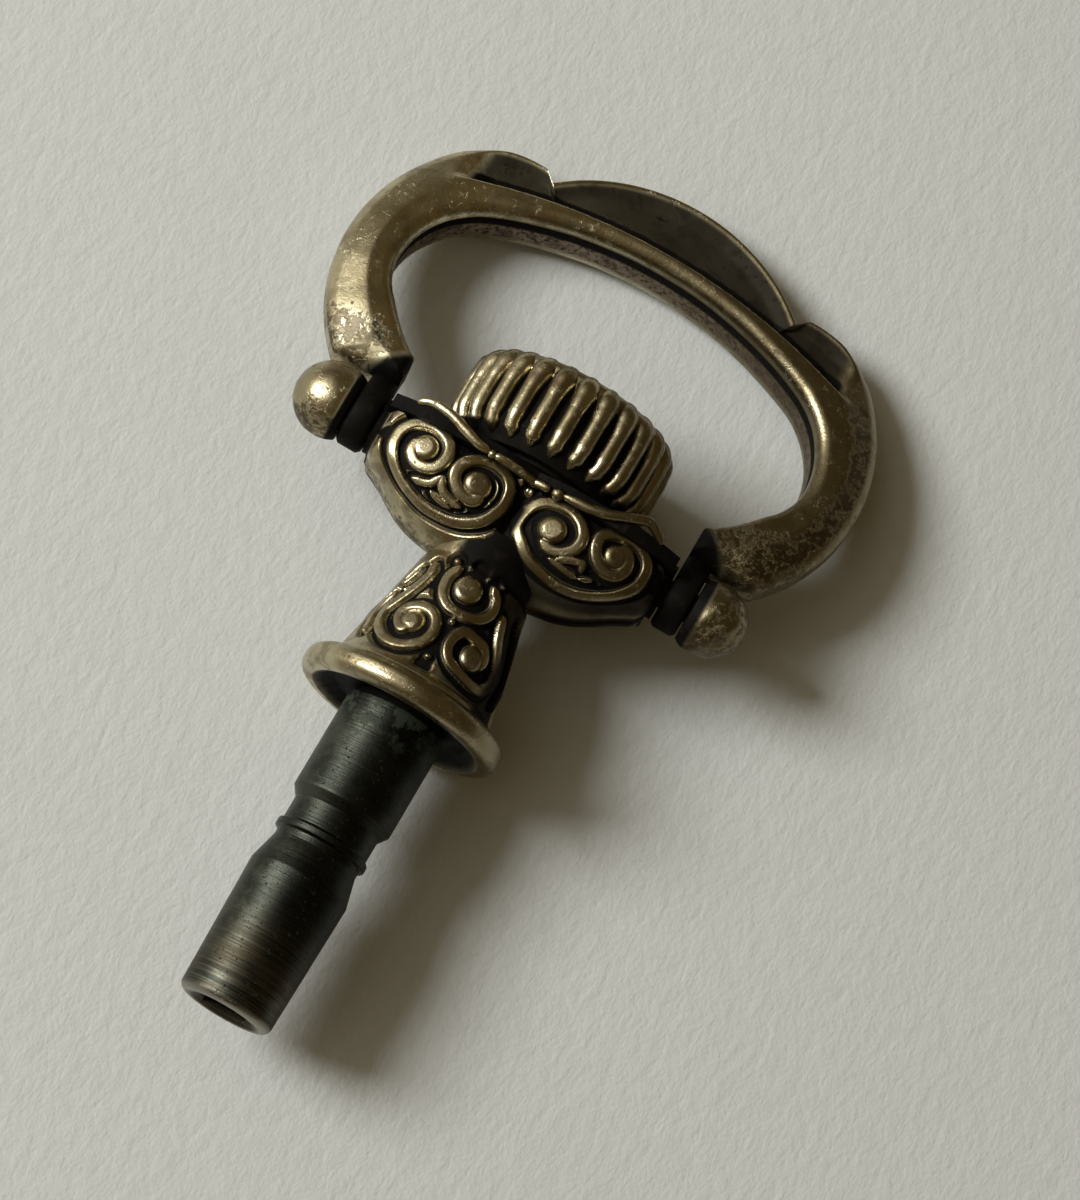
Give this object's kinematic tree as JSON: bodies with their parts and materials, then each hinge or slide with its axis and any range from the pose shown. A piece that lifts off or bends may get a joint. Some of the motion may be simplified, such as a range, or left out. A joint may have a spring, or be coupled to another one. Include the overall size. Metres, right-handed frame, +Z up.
{
  "type": "watch key",
  "caption": "Pendant-shaped watch key: steel winding pipe with square socket, scrolled head with fluted crown, and a D-shaped folding bow on ball-ended pivots.",
  "frame": {"origin": "centre of the winding socket's mouth, on the pipe's axis", "axes": "+Y along the pipe's axis towards the crown and bow, +X along the bow's pivots, +Z up from the surface the key lies on"},
  "size_m": [0.0208, 0.0344, 0.008],
  "materials": {
    "gilt_brass": "worn antique gilding with black patina in the recesses",
    "gun_steel": "oxidised turned steel, bright at the worn tip",
    "inner_brass": "plain turned brass"
  },
  "bodies": {
    "head": {"collar": "gilt_brass", "neck": "gilt_brass", "bearing_tube": "inner_brass", "head_front_shell": "gilt_brass", "head_back_shell": "gilt_brass", "head_top_plate": "gilt_brass", "end_boss_left": "gilt_brass", "end_boss_right": "gilt_brass", "pivot_pin_left": "gun_steel", "pivot_pin_right": "gun_steel", "ball_left": "gilt_brass", "ball_right": "gilt_brass"},
    "spindle": {"pipe": "gun_steel", "arbor": "gun_steel", "thrust_washer": "inner_brass", "seat_washer": "inner_brass", "crown_shell": "gilt_brass", "crown_core": "inner_brass", "rivet_washer": "inner_brass"},
    "bow": {"bow": "gilt_brass"}
  },
  "joints": [
    {"name": "bow_swing", "type": "hinge", "parent": "head", "child": "bow", "pos_m": [0, 0.02045, 0], "axis": [1, 0, 0], "range_deg": [-150, 176.6]},
    {"name": "crown_turn", "type": "hinge", "parent": "head", "child": "spindle", "pos_m": [0, 0.01, 0], "axis": [0, 1, 0], "continuous": true}
  ]
}
